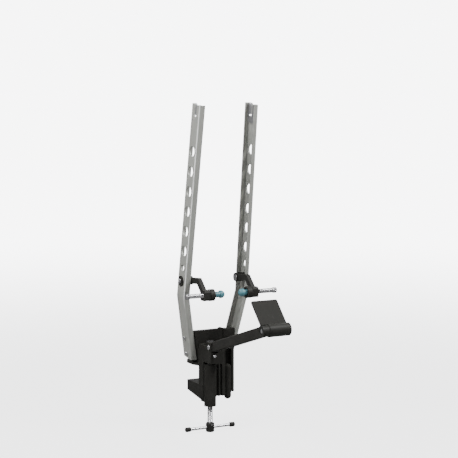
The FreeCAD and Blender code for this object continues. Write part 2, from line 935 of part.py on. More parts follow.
def clamp_spindle():
    head_low = bridge_top + thrust_washer_thickness
    bottom = -handle_top - handle_height
    rod = rod_z(spindle_radius, bottom, head_low + 1, post_x, post_y)
    head = rod_z(spindle_head_radius, head_low, head_low + spindle_head_height, post_x, post_y)
    middle = -handle_top - handle_height / 2
    reach = handle_radius + 1
    tommy_hole = rod_x(tommy_radius + CLEAR, post_x - reach, post_x + reach, post_y, middle)
    pin_z = -handle_top - handle_pin_drop
    pin_hole = rod_y(handle_pin_radius, post_y - reach, post_y + reach, post_x, pin_z)
    return cut(union(rod, head), tommy_hole, pin_hole)


def thrust_washer():
    ring = rod_z(thrust_washer_radius, bridge_top, bridge_top + thrust_washer_thickness, post_x, post_y)
    bore = rod_z(spindle_radius + CLEAR, bridge_top - 1, bridge_top + 5, post_x, post_y)
    return ring.cut(bore)


def spindle_handle():
    bottom = -handle_top - handle_height
    reach = handle_radius + 1
    boss = rod_z(handle_radius, bottom, -handle_top, post_x, post_y)
    boss = boss.makeChamfer(handle_chamfer, [e for e in boss.Edges if e.BoundBox.ZLength < 0.01])
    middle = -handle_top - handle_height / 2
    return cut(
        boss,
        rod_z(spindle_radius, bottom - 1, -handle_top + 1, post_x, post_y),
        rod_x(tommy_radius + CLEAR, post_x - reach, post_x + reach, post_y, middle),
        rod_y(handle_pin_radius, post_y - reach, post_y + reach, post_x, -handle_top - handle_pin_drop),
    )


def handle_pin():
    reach = handle_radius - handle_pin_recess
    return rod_y(handle_pin_radius, post_y - reach, post_y + reach, post_x, -handle_top - handle_pin_drop)


def tommy_bar():
    middle = -handle_top - handle_height / 2
    half = tommy_length / 2
    return rod_x(tommy_radius, post_x - half, post_x + half, post_y, middle)


def tommy_bar_caps():
    middle = -handle_top - handle_height / 2
    half = tommy_length / 2
    inner = half - tommy_cap_cover
    caps = []
    for side in (-1, 1):
        x0, x1 = sorted((side * inner, side * (inner + tommy_cap_length)))
        cap = rod_x(tommy_cap_radius, post_x + x0, post_x + x1, post_y, middle)
        cap = cap.makeFillet(tommy_cap_rounding, [e for e in cap.Edges if e.BoundBox.XLength < 0.01])
        caps.append(cap.cut(tommy_bar()))
    return Part.makeCompound(caps)


# ---------------------------------------------------------------- gauge arm

def arm_rise():
    return math.atan2(barrel_z - arm_pivot_z, arm_pivot_y - barrel_y)


def arm_length():
    return math.hypot(barrel_z - arm_pivot_z, arm_pivot_y - barrel_y)


def arm_eye_radius():
    """Radius of both eyes, whose undersides run on into the bar's."""
    return arm_height / 2 + arm_drop


def gauge_arm():
    """A bar with an eye at each end, built level along -Y and then raised."""
    length = arm_length()
    low = -arm_eye_radius()
    bar = box(arm_left, arm_left + arm_width, -length, 0, low, low + arm_height)
    long_edges = [e for e in bar.Edges if e.BoundBox.YLength > length / 2]
    bar = bar.makeChamfer(arm_edge, long_edges)
    arm = union(
        bar,
        rod_x(arm_eye_radius(), arm_left, arm_left + arm_width, 0, 0),
        rod_x(arm_eye_radius(), arm_left, arm_left + arm_width, -length, 0),
    )
    arm = cut(
        arm,
        rod_x(arm_pivot_radius + CLEAR, arm_left - 1, arm_left + arm_width + 1, 0, 0),
        rod_x(barrel_screw_radius + CLEAR, arm_left - 1, arm_left + arm_width + 1, -length, 0),
        rod_x(
            barrel_screw_head_radius + barrel_screw_room, arm_left - 1,
            arm_left + barrel_screw_sink, -length, 0,
        ),
    )
    arm.rotate(ORIGIN, X_AXIS, -math.degrees(arm_rise()))
    arm.translate(FreeCAD.Vector(0, arm_pivot_y, arm_pivot_z))
    return arm


def gauge_pivot_bolt():
    head = rod_x(
        pivot_head_radius, block_left - pivot_head_height, block_left, arm_pivot_y, arm_pivot_z,
    )
    rim = min(head.Edges, key=lambda e: e.BoundBox.XMax)
    head = head.makeFillet(pivot_head_rounding, [rim])
    end = block_right - pivot_end_recess
    shank = rod_x(arm_pivot_radius, block_left - 1, end, arm_pivot_y, arm_pivot_z)
    face = block_left - pivot_head_height
    socket = hex_x(socket_size, face - 1, face + socket_depth, arm_pivot_y, arm_pivot_z)
    return cut(union(head, shank), socket)


def gauge_pivot_nut():
    x0 = block_right - pivot_nut_height
    x1 = block_right - pivot_end_recess
    nut = hex_x(pivot_nut_across_flats, x0, x1, arm_pivot_y, arm_pivot_z)
    return nut.cut(rod_x(arm_pivot_radius, x0 - 1, block_right + 1, arm_pivot_y, arm_pivot_z))


def arm_stop_screw():
    shank = rod_y(
        stop_screw_radius, block_front - 1, block_front + stop_screw_length - 1,
        stop_screw_x, stop_screw_z,
    )
    head = rod_y(
        stop_screw_head_radius, block_front - stop_screw_head_height, block_front,
        stop_screw_x, stop_screw_z,
    )
    rim = min(head.Edges, key=lambda e: e.BoundBox.YMax)
    return union(head.makeFillet(stop_screw_rounding, [rim]), shank)


def barrel_left():
    return arm_left + arm_width + arm_side_clearance


def blade_plate():
    """The flat blade, leaning back over the arm from inside the barrel."""
    half = blade_thickness / 2
    blade = box(-blade_left, blade_right, blade_root, blade_length, -half, half)
    corners = [
        e for e in blade.Edges
        if e.BoundBox.ZLength > 1 and e.BoundBox.YMin > blade_length - 1
    ]
    blade = blade.makeFillet(blade_corner, corners)
    notch_depth = arm_eye_radius() + blade_notch_gap
    notch = box(-blade_left - 1, barrel_left(), 0, notch_depth, -blade_thickness, blade_thickness)
    blade = blade.cut(notch)
    blade.rotate(ORIGIN, X_AXIS, blade_lean)
    blade.translate(FreeCAD.Vector(0, barrel_y, barrel_z))
    return blade


def gauge_barrel():
    left = barrel_left()
    barrel = rod_x(barrel_radius, left, barrel_right, barrel_y, barrel_z)
    barrel = barrel.makeFillet(barrel_rounding, [e for e in barrel.Edges if e.BoundBox.XLength < 0.01])
    hollow = rod_x(
        barrel_radius - barrel_wall, left + barrel_cap, barrel_right - barrel_cap,
        barrel_y, barrel_z,
    )
    boss_end = left + barrel_cap + barrel_boss_length
    boss_radius = barrel_screw_radius + barrel_boss_wall
    screw = rod_x(barrel_screw_radius, left - 1, boss_end, barrel_y, barrel_z)
    boss = rod_x(boss_radius, left, boss_end, barrel_y, barrel_z)
    return cut(union(barrel.cut(hollow), boss), screw, blade_plate())


def barrel_screw():
    """Its head is sunk in the arm, which turns on it."""
    seat = arm_left + barrel_screw_sink
    head = rod_x(
        barrel_screw_head_radius, seat - barrel_screw_head_height, seat,
        barrel_y, barrel_z,
    )
    rim = min(head.Edges, key=lambda e: e.BoundBox.XMax)
    head = head.makeFillet(barrel_screw_rounding, [rim])
    shank_end = barrel_left() + barrel_cap + barrel_boss_length - 1
    shank = rod_x(barrel_screw_radius, seat - 1, shank_end, barrel_y, barrel_z)
    return union(head, shank)


# ---------------------------------------------------------------- calipers and feelers

def caliper_pivot():
    return stand_point(0, caliper_pivot_place)


def arm_leg(start, end):
    """A straight leg of the caliper between two (y, z) places."""
    along_y = end[0] - start[0]
    along_z = end[1] - start[1]
    share = caliper_arm_half_height / math.hypot(along_y, along_z)
    side_y = -along_z * share
    side_z = along_y * share
    corners = [
        (start[0] + side_y, start[1] + side_z), (end[0] + side_y, end[1] + side_z),
        (end[0] - side_y, end[1] - side_z), (start[0] - side_y, start[1] - side_z),
    ]
    face = polygon_face([(caliper_arm_inner, y, z) for y, z in corners])
    return face.extrude(X_AXIS * caliper_arm_width)


def caliper_arm():
    """Two straight legs that meet in a rounded elbow above the rim."""
    outer = caliper_arm_inner + caliper_arm_width
    elbow = rod_x(caliper_arm_half_height, caliper_arm_inner, outer, *caliper_arm_elbow)
    rise = arm_leg(caliper_pivot(), caliper_arm_elbow)
    fall = arm_leg(caliper_arm_elbow, (feeler_y, feeler_z))
    return union(rise, elbow, fall)


def feeler_block():
    half = feeler_block_size / 2
    block = box(
        feeler_block_inner, feeler_block_outer,
        feeler_y - half, feeler_y + half, feeler_z - half, feeler_z + half,
    )
    edges = [e for e in block.Edges if e.BoundBox.XLength > 1]
    block = block.makeFillet(feeler_block_corner, edges)
    neck = rod_x(
        feeler_collar_radius - 1, feeler_block_inner - feeler_groove,
        feeler_block_inner + 1, feeler_y, feeler_z,
    )
    collar = rod_x(
        feeler_collar_radius, feeler_collar_inner,
        feeler_block_inner - feeler_groove, feeler_y, feeler_z,
    )
    return union(block, neck, collar)


def insert_inner():
    return insert_outer - insert_length


def nut_seat():
    """X of the floor of the round recess in which the bolt's nut turns."""
    return caliper_boss_inner + caliper_nut_sink + caliper_nut_height + caliper_nut_gap


def right_caliper():
    pivot_y, pivot_z = caliper_pivot()
    boss_outer = web_x(sheet_thickness, caliper_pivot_place) - caliper_boss_gap
    boss = rod_x(caliper_boss_radius, caliper_boss_inner, boss_outer, pivot_y, pivot_z)
    body = union(boss, caliper_arm(), feeler_block())
    bore_outer = feeler_block_outer + 1
    return cut(
        body,
        rod_x(caliper_bolt_radius + CLEAR, 0, boss_outer + 1, pivot_y, pivot_z),
        rod_x(caliper_nut_room, 0, nut_seat(), pivot_y, pivot_z),
        rod_x(feeler_tip_head_radius + feeler_tip_clearance, 0, insert_inner(), feeler_y, feeler_z),
        rod_x(insert_radius, insert_inner() - 1, insert_outer, feeler_y, feeler_z),
        rod_x(feeler_rod_radius + GAP, 0, bore_outer, feeler_y, feeler_z),
    )


def right_thread_insert():
    ring = rod_x(insert_radius, insert_inner(), insert_outer, feeler_y, feeler_z)
    return ring.cut(rod_x(feeler_rod_radius + CLEAR, 0, insert_outer + 1, feeler_y, feeler_z))


def web_outer_at_pivot():
    return web_x(0, caliper_pivot_place)


def right_friction_washer():
    pivot_y, pivot_z = caliper_pivot()
    x0 = web_outer_at_pivot() + friction_washer_gap
    x1 = x0 + friction_washer_thickness
    ring = rod_x(friction_washer_radius, x0, x1, pivot_y, pivot_z)
    ring = ring.makeChamfer(friction_washer_chamfer, [outer_rim(ring)])
    return ring.cut(rod_x(caliper_bolt_radius + CLEAR, x0 - 1, x1 + 1, pivot_y, pivot_z))


def right_caliper_bolt():
    pivot_y, pivot_z = caliper_pivot()
    x0 = web_outer_at_pivot() + friction_washer_gap + friction_washer_thickness
    x1 = x0 + caliper_bolt_head_height
    head = rod_x(caliper_bolt_head_radius, x0, x1, pivot_y, pivot_z)
    head = head.makeFillet(caliper_bolt_rounding, [outer_rim(head)])
    end = caliper_boss_inner + caliper_bolt_end
    shank = rod_x(caliper_bolt_radius, end, x0 + 0.5, pivot_y, pivot_z)
    socket = hex_x(socket_size, x1 - socket_depth, x1 + 1, pivot_y, pivot_z)
    return cut(union(head, shank), socket)


def right_caliper_nut():
    pivot_y, pivot_z = caliper_pivot()
    x1 = nut_seat() - caliper_nut_gap
    x0 = x1 - caliper_nut_height
    nut = hex_x(caliper_nut_across_flats, x0, x1, pivot_y, pivot_z)
    return nut.cut(rod_x(caliper_bolt_radius, x0 - 1, x1 + 1, pivot_y, pivot_z))


def feeler_rod():
    start = feeler_tip_back - feeler_tip_socket
    return rod_x(feeler_rod_radius, start, feeler_knob_inner + 1, feeler_y, feeler_z)


def feeler_knob():
    x0 = feeler_knob_inner
    x1 = x0 + feeler_knob_length
    knob = rod_x(feeler_knob_radius, x0, x1, feeler_y, feeler_z)
    knob = knob.makeFillet(feeler_knob_rounding, [e for e in knob.Edges if e.BoundBox.XLength < 0.01])
    return knob.cut(rod_x(feeler_rod_radius, 0, x0 + 1, feeler_y, feeler_z))


def feeler_tip():
    """A domed head on a neck that covers the rod."""
    head = rod_x(
        feeler_tip_head_radius, feeler_tip_point, feeler_tip_head_back, feeler_y, feeler_z,
    )
    head = head.makeFillet(feeler_tip_rounding, [outer_rim(head)])
    point = min(head.Edges, key=lambda e: e.BoundBox.XMax)
    head = head.makeFillet(feeler_tip_dome, [point])
    neck = rod_x(
        feeler_tip_neck_radius, feeler_tip_head_back - 1, feeler_tip_back, feeler_y, feeler_z,
    )
    start = feeler_tip_back - feeler_tip_socket
    socket = rod_x(feeler_rod_radius + CLEAR, start, feeler_tip_back + 1, feeler_y, feeler_z)
    return cut(union(head, neck), socket)


# ---------------------------------------------------------------- export

def export(name, shape):
    shape.exportStep(os.path.join("parts", name + ".step"))
    print(name, len(shape.Solids), "solids", round(shape.Volume / 1000, 2), "cm3", shape.isValid())


def export_pair(name, right_shape):
    export("right_" + name, right_shape)
    export("left_" + name, mirrored(right_shape))


def export_feeler(name, shape):
    """The left piece as built, mirrored, and the right one screwed further out."""
    right = shape.copy()
    right.translate(X_AXIS * right_feeler_out)
    export("right_" + name, right)
    export("left_" + name, mirrored(shape))


def main():
    os.makedirs("parts", exist_ok=True)
    export("clamp_body", clamp_body())
    export("rear_cover", rear_cover())
    export("cover_screws", cover_screws())
    export("foot_pins", foot_pins())
    export("foot_washers", foot_washers())
    export("right_foot", on_stand(right_foot()))
    export("left_foot", on_stand(left_foot()))
    export_pair("foot_bolts", on_stand(right_foot_bolts()))
    export("right_upright", on_stand(right_upright()))
    export("left_upright", on_stand(left_upright()))
    export_pair("axle_seat", on_stand(right_axle_seat()))
    export_pair("seat_rivets", on_stand(right_seat_rivets()))
    export_pair("caliper", right_caliper())
    export_pair("caliper_bolt", right_caliper_bolt())
    export_pair("caliper_nut", right_caliper_nut())
    export_pair("friction_washer", right_friction_washer())
    export_pair("thread_insert", right_thread_insert())
    export_feeler("feeler_rod", feeler_rod())
    export_feeler("feeler_knob", feeler_knob())
    export_feeler("feeler_tip", feeler_tip())
    export("lower_jaw", lower_jaw())
    export("jaw_nut", jaw_nut())
    export("clamp_spindle", clamp_spindle())
    export("thrust_washer", thrust_washer())
    export("spindle_handle", spindle_handle())
    export("handle_pin", handle_pin())
    export("tommy_bar", tommy_bar())
    export("tommy_bar_caps", tommy_bar_caps())
    export("gauge_arm", gauge_arm())
    export("gauge_pivot_bolt", gauge_pivot_bolt())
    export("gauge_pivot_nut", gauge_pivot_nut())
    export("arm_stop_screw", arm_stop_screw())
    export("gauge_barrel", gauge_barrel())
    export("gauge_blade", blade_plate())
    export("barrel_screw", barrel_screw())


main()
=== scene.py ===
"""Looks of the bicycle wheel truing stand: finishes, threads, knurls and rounded edges on its parts."""

import json
import math

import bmesh
import bpy
from mathutils import Matrix, Vector


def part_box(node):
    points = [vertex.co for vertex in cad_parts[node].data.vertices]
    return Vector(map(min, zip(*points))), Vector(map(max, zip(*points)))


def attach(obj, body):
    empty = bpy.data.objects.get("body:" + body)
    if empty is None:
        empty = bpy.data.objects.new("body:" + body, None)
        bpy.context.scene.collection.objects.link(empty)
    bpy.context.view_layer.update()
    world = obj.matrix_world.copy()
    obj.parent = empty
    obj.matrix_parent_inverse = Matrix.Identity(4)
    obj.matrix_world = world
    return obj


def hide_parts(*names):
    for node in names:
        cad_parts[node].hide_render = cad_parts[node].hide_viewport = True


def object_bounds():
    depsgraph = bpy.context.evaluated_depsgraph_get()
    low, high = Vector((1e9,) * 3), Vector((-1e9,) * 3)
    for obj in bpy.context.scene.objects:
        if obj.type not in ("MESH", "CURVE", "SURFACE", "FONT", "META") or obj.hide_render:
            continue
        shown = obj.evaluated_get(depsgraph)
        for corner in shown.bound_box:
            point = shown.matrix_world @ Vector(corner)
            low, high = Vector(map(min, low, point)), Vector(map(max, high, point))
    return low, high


MM = 0.001
TURN = 2 * math.pi

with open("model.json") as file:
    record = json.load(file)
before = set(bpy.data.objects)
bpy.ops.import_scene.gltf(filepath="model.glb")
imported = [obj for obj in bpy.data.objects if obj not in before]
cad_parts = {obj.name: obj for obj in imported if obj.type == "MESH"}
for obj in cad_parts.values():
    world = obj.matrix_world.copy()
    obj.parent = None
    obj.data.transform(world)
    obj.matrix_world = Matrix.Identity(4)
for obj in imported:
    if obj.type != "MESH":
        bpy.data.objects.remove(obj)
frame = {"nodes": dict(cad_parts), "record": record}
cad_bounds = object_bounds()
body_of_node = {
    node: body
    for body, nodes in frame["record"]["behaviour"]["bodies"].items()
    for node in nodes
}
slot_of_node = {part["node"]: part["material_slot"] for part in frame["record"]["subparts"]}


# ---------------------------------------------------------------- materials

MIX_FIRST, MIX_SECOND = 6, 7     # the colour inputs of a Mix node
RESULT_OF = {"ShaderNodeMix": 2, "ShaderNodeMapRange": "Result"}    # outputs that aren't called Color


class Finish:
    """A node material whose pattern is measured in millimetres on the piece."""

    def __init__(self, name):
        self.material = bpy.data.materials.new(name)
        self.material.use_nodes = True
        self.tree = self.material.node_tree
        self.tree.nodes.clear()
        self.output = self.add("ShaderNodeOutputMaterial")
        self.shader = self.add("ShaderNodeBsdfPrincipled")
        self.link(self.shader, "BSDF", self.output, "Surface")
        coordinates = self.add("ShaderNodeTexCoord")
        scale = self.add("ShaderNodeVectorMath", operation="SCALE")
        scale.inputs["Scale"].default_value = 1 / MM
        self.link(coordinates, "Object", scale, 0)
        self.millimetres = scale

    def add(self, kind, **settings):
        """A new node with its settings."""
        node = self.tree.nodes.new(kind)
        for key, value in settings.items():
            setattr(node, key, value)
        return node

    def link(self, source, output, target, socket):
        """Links an output of one node to a socket of another."""
        self.tree.links.new(source.outputs[output], target.inputs[socket])

    def pass_on(self, source, target, socket):
        """Links the colour or mask that a node gives, whatever its output is called."""
        self.link(source, RESULT_OF.get(source.bl_idname, "Color"), target, socket)

    def feed(self, source, socket):
        """Links a colour or mask to a socket of the material's shader."""
        self.pass_on(source, self.shader, socket)

    def stretched(self, along):
        """Coordinates scaled by axis, for brushed or turned marks."""
        node = self.add("ShaderNodeVectorMath", operation="MULTIPLY")
        node.inputs[1].default_value = along
        self.link(self.millimetres, 0, node, 0)
        return node

    def noise(self, size, detail, roughness=0.55, source=None):
        """Noise whose features are about size millimetres across."""
        node = self.add("ShaderNodeTexNoise")
        node.inputs["Scale"].default_value = 1 / size
        node.inputs["Detail"].default_value = detail
        node.inputs["Roughness"].default_value = roughness
        self.link(source or self.millimetres, 0, node, "Vector")
        return node

    def grains(self, size):
        """Rounded cells about size millimetres across."""
        node = self.add("ShaderNodeTexVoronoi", feature="SMOOTH_F1")
        node.inputs["Scale"].default_value = 1 / size
        self.link(self.millimetres, 0, node, "Vector")
        return node

    def ramp(self, source, output, stops):
        """Turns a value into a colour, or into a mask where each stop has one number."""
        node = self.add("ShaderNodeValToRGB")
        while len(node.color_ramp.elements) < len(stops):
            node.color_ramp.elements.new(0.5)
        for element, (place, colour) in zip(node.color_ramp.elements, stops):
            element.position = place
            element.color = (*colour, 1) if len(colour) == 3 else (colour[0],) * 3 + (1,)
        self.link(source, output, node, "Fac")
        return node

    def mix(self, mask, first, second):
        """The first colour where the mask is black, and the second where it is white."""
        node = self.add("ShaderNodeMix", data_type="RGBA")
        self.pass_on(mask, node, "Factor")
        self.pass_on(first, node, MIX_FIRST)
        self.pass_on(second, node, MIX_SECOND)
        return node

    def both(self, first, second):
        """A mask that is white only where two masks are."""
        node = self.add("ShaderNodeMix", data_type="RGBA", blend_type="MULTIPLY")
        node.inputs["Factor"].default_value = 1.0
        self.pass_on(first, node, MIX_FIRST)
        self.pass_on(second, node, MIX_SECOND)
        return node

    def edges(self, radius, low, high):
        """A mask of the piece's edges: low and high are cosines of the normal's turn within radius mm."""
        bevel = self.add("ShaderNodeBevel", samples=4)
        bevel.inputs["Radius"].default_value = radius * MM
        geometry = self.add("ShaderNodeNewGeometry")
        dot = self.add("ShaderNodeVectorMath", operation="DOT_PRODUCT")
        self.link(bevel, "Normal", dot, 0)
        self.link(geometry, "Normal", dot, 1)
        return self.ramp(dot, "Value", [(low, (1.0,)), (high, (0.0,))])

    def bends(self, low, high):
        """A mask of the bends between X and Y: low and high are sizes of the normal's X times its Y."""
        coordinates = self.add("ShaderNodeTexCoord")
        split = self.add("ShaderNodeSeparateXYZ")
        product = self.add("ShaderNodeMath", operation="MULTIPLY")
        size = self.add("ShaderNodeMath", operation="ABSOLUTE")
        self.link(coordinates, "Normal", split, 0)
        self.link(split, "X", product, 0)
        self.link(split, "Y", product, 1)
        self.link(product, 0, size, 0)
        return self.ramp(size, 0, [(low, (0.0,)), (high, (1.0,))])

    def higher(self, low, high, least):
        """A mask that rises from least to 1 between two heights in millimetres."""
        split = self.add("ShaderNodeSeparateXYZ")
        rise = self.add("ShaderNodeMapRange")
        rise.inputs["From Min"].default_value = low
        rise.inputs["From Max"].default_value = high
        rise.inputs["To Min"].default_value = least
        self.link(self.millimetres, 0, split, 0)
        self.link(split, "Z", rise, "Value")
        return rise

    def bump(self, layers):
        """Stacks height layers, each given as (node, output, depth in millimetres)."""
        below = None
        for source, output, depth in layers:
            node = self.add("ShaderNodeBump")
            node.inputs["Distance"].default_value = depth * MM
            self.link(source, output, node, "Height")
            if below:
                self.link(below, "Normal", node, "Normal")
            below = node
        self.link(below, "Normal", self.shader, "Normal")


BEND_HIGHLIGHT_FROM, BEND_HIGHLIGHT_FULL = 100.0, 130.0   # heights in mm where the painted highlight on the bends sets in
BEND_HIGHLIGHT_BELOW = 0.15                       # how much of it is left below them


def painted_steel(name):
    """Light grey powder coat on bent sheet: orange peel, a little dust, paler edges that are partly worn
    paint and partly a painted highlight, and a painted highlight along the upper bends.
    """
    finish = Finish(name)
    clouds = finish.noise(38.0, detail=3.0)
    tone = finish.ramp(clouds, "Fac", [(0.3, (0.262, 0.268, 0.246)), (0.7, (0.302, 0.308, 0.285))])
    speck = finish.noise(1.1, detail=2.0)
    dust = finish.ramp(speck, "Fac", [(0.66, (0.292, 0.298, 0.275)), (0.78, (0.39, 0.395, 0.37))])
    speck_mask = finish.ramp(speck, "Fac", [(0.66, (0.0,)), (0.8, (0.35,))])
    painted = finish.mix(speck_mask, tone, dust)
    # Paler paint on the sharp edges, in patches: partly worn paint, partly a painted highlight.
    wear_and_edge_highlight = finish.ramp(clouds, "Fac", [(0.0, (0.42, 0.425, 0.41)), (1.0, (0.5, 0.505, 0.49))])
    edge = finish.edges(0.6, 0.9, 0.985)
    edge_patches = finish.noise(4.0, detail=5.0)
    patchy = finish.ramp(edge_patches, "Fac", [(0.42, (0.0,)), (0.62, (0.55,))])
    colour = finish.mix(finish.both(edge, patchy), painted, wear_and_edge_highlight)
    # A painted highlight along the bends: near-white paint, uneven in strength, and mostly faded below the
    # heights set above.
    highlight_variation = finish.noise(14.0, detail=4.0)
    highlight_strength = finish.ramp(highlight_variation, "Fac", [(0.3, (0.75,)), (0.7, (1.0,))])
    bend_highlight_mask = finish.both(finish.bends(0.15, 0.34), highlight_strength)
    highlight_colour = finish.ramp(clouds, "Fac", [(0.0, (0.8, 0.805, 0.79)), (1.0, (0.9, 0.905, 0.89))])
    upper_bend_highlight = finish.both(bend_highlight_mask, finish.higher(BEND_HIGHLIGHT_FROM, BEND_HIGHLIGHT_FULL, BEND_HIGHLIGHT_BELOW))
    finish.feed(finish.mix(upper_bend_highlight, colour, highlight_colour), "Base Color")
    rough = finish.ramp(clouds, "Fac", [(0.3, (0.36,)), (0.75, (0.46,))])
    finish.feed(rough, "Roughness")
    peel = finish.noise(1.6, detail=1.5)
    finish.bump([(peel, "Fac", 0.035), (speck, "Fac", 0.012)])
    return finish.material


def moulded_plastic(name, dark, light, sheen, roughness, grain, depth, scuff):
    """Black moulded plastic: faint grey scuffs, and a grain whose size and depth are in millimetres."""
    finish = Finish(name)
    finish.shader.inputs["Specular IOR Level"].default_value = sheen
    clouds = finish.noise(24.0, detail=4.0)
    tone = finish.ramp(clouds, "Fac", [(0.3, dark), (0.75, light)])
    scuffs = finish.noise(7.0, detail=8.0, roughness=0.7, source=finish.stretched((1.0, 0.4, 0.25)))
    scuff_mask = finish.ramp(scuffs, "Fac", [(0.6, (0.0,)), (0.74, (scuff,))])
    pale = finish.ramp(clouds, "Fac", [(0.0, (0.06, 0.06, 0.058)), (1.0, (0.085, 0.085, 0.08))])
    body = finish.mix(scuff_mask, tone, pale)
    edge = finish.edges(0.7, 0.88, 0.98)
    soft_edge = finish.ramp(edge, "Color", [(0.0, (0.0,)), (1.0, (0.4,))])
    finish.feed(finish.mix(soft_edge, body, pale), "Base Color")
    rough = finish.ramp(clouds, "Fac", [(0.25, (roughness - 0.05,)), (0.8, (roughness + 0.07,))])
    finish.feed(rough, "Roughness")
    grains = finish.grains(grain)
    finish.bump([(grains, "Distance", depth), (scuffs, "Fac", depth * 0.4)])
    return finish.material


def plated_steel(name, colour, roughness, along):
    """Bright plated steel: fine draw marks along one axis, a few dull smears."""
    finish = Finish(name)
    finish.shader.inputs["Metallic"].default_value = 1.0
    marks = finish.noise(0.6, detail=3.0, source=finish.stretched(along))
    smears = finish.noise(9.0, detail=4.0)
    darker = tuple(c * 0.82 for c in colour)
    tone = finish.ramp(smears, "Fac", [(0.3, darker), (0.65, colour)])
    finish.feed(tone, "Base Color")
    rough = finish.ramp(smears, "Fac", [(0.3, (roughness + 0.12,)), (0.7, (roughness,))])
    finish.feed(rough, "Roughness")
    finish.bump([(marks, "Fac", 0.008)])
    return finish.material


def soft_plastic(name, dark, light, roughness):
    """Smooth soft plastic with faint mottling and handling marks."""
    finish = Finish(name)
    clouds = finish.noise(5.0, detail=4.0)
    tone = finish.ramp(clouds, "Fac", [(0.3, dark), (0.7, light)])
    finish.feed(tone, "Base Color")
    rough = finish.ramp(clouds, "Fac", [(0.3, (roughness,)), (0.7, (roughness + 0.1,))])
    finish.feed(rough, "Roughness")
    fine = finish.noise(0.5, detail=2.0)
    finish.bump([(fine, "Fac", 0.015)])
    return finish.material


# Draws the marks of plated_steel out along one axis.
LENGTHWISE = {"x": (0.08, 1.0, 1.0), "y": (1.0, 0.08, 1.0)}
BLACK = (0.0155, 0.0152, 0.0134)
# The record's material slots, and black_steel for the head of the clamp's spindle.
finishes = {
    "grey_paint": painted_steel("grey_powder_coat"),
    "black_body": moulded_plastic(
        "black_grained_plastic", BLACK, light=(0.0235, 0.023, 0.0206),
        sheen=0.1, roughness=0.62, grain=0.55, depth=0.04, scuff=0.3,
    ),
    "black_smooth": moulded_plastic(
        "black_satin_plastic", BLACK, light=(0.0228, 0.0224, 0.0201),
        sheen=0.17, roughness=0.52, grain=0.8, depth=0.01, scuff=0.2,
    ),
    "blue_tip": soft_plastic("blue_soft_plastic", (0.054, 0.17, 0.206), (0.078, 0.214, 0.25), 0.4),
    "bright_steel": plated_steel("bright_plated_steel", (0.54, 0.54, 0.55), 0.2, LENGTHWISE["x"]),
    "plain_steel": plated_steel("turned_steel", (0.5, 0.5, 0.51), 0.34, LENGTHWISE["y"]),
    "black_steel": plated_steel("blackened_steel", (0.035, 0.035, 0.037), 0.4, LENGTHWISE["x"]),
    "brass": plated_steel("turned_brass", (0.72, 0.5, 0.2), 0.3, LENGTHWISE["x"]),
    "slide_plastic": soft_plastic("natural_plastic", (0.56, 0.56, 0.5), (0.66, 0.66, 0.61), 0.45),
}


# ---------------------------------------------------------------- mesh helpers

def new_piece(name, mesh, node, smooth_angle=35.0):
    """Puts a finished mesh in the place of a CAD node; edges over smooth_angle degrees stay sharp."""
    for polygon in mesh.polygons:
        polygon.use_smooth = True
    mesh.set_sharp_from_angle(angle=math.radians(smooth_angle))
    piece = bpy.data.objects.new(name, mesh)
    bpy.context.scene.collection.objects.link(piece)
    slot = slot_of_node[node]
    mesh.materials.clear()
    mesh.materials.append(finishes[slot])
    shading = piece.modifiers.new("flat_faces", "WEIGHTED_NORMAL")
    shading.keep_sharp = True
    shading.weight = 100
    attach(piece, body_of_node[node])
    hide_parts(node)
    return piece


def mesh_from(name, build):
    """A mesh that build fills, with its faces turned outwards."""
    mesh = bpy.data.meshes.new(name)
    work = bmesh.new()
    build(work)
    bmesh.ops.recalc_face_normals(work, faces=work.faces)
    work.to_mesh(mesh)
    work.free()
    return mesh


def place_along_x(centre):
    """Turns a shape built along +Z about the origin so that it runs along +X."""
    return Matrix.Translation(centre) @ Matrix.Rotation(math.radians(90), 4, "Y")


def turned_surface(work, rings, segments, place, radius_at=None):
    """Closed turned shape: rings are (height, radius), and radius_at may cut the radius by angle."""
    loops = []
    for height, radius in rings:
        loop = []
        for k in range(segments):
            angle = TURN * k / segments
            r = radius_at(height, angle, radius) if radius_at else radius
            loop.append(work.verts.new(place @ Vector((r * math.cos(angle), r * math.sin(angle), height))))
        loops.append(loop)
    for low, high in zip(loops, loops[1:]):
        for k in range(segments):
            following = (k + 1) % segments
            work.faces.new((low[k], low[following], high[following], high[k]))
    work.faces.new(list(reversed(loops[0])))
    work.faces.new(loops[-1])


def thread_radius(pitch, depth):
    """Radius of a right-hand thread at a height and angle, as a cut below the crest."""
    flank = 2.4               # how steeply the flanks fall, in depths for each pitch
    flat = 0.1                # what is taken off that fall, which leaves a flat crest

    def radius_at(height, angle, crest):
        phase = (height / pitch - angle / TURN) % 1.0
        fall = min(1.0, max(0.0, flank * abs(phase - 0.5) - flat))
        return crest - depth * fall
    return radius_at


ROD_SEGMENTS = 36
RINGS_PER_PITCH = 8


def threaded_rings(start, end, radius, pitch):
    """Rings of a threaded rod with small chamfers at both ends."""
    count = max(2, round((end - start) / pitch * RINGS_PER_PITCH))
    chamfer = 0.6 * pitch
    slope = 0.6               # how far a chamfer goes in, for its length
    rings = []
    for k in range(count + 1):
        height = start + (end - start) * k / count
        inset = max(0.0, chamfer - (height - start), chamfer - (end - height))
        rings.append((height, radius - min(inset, chamfer) * slope))
    return rings


ROUNDED_ANGLE = 30.0      # in degrees: edges that turn by more are rounded,
FLAT_ANGLE = 0.2          # and faces that turn by less are joined
SAME_POINT = 0.002        # in millimetres: points nearer than this are joined


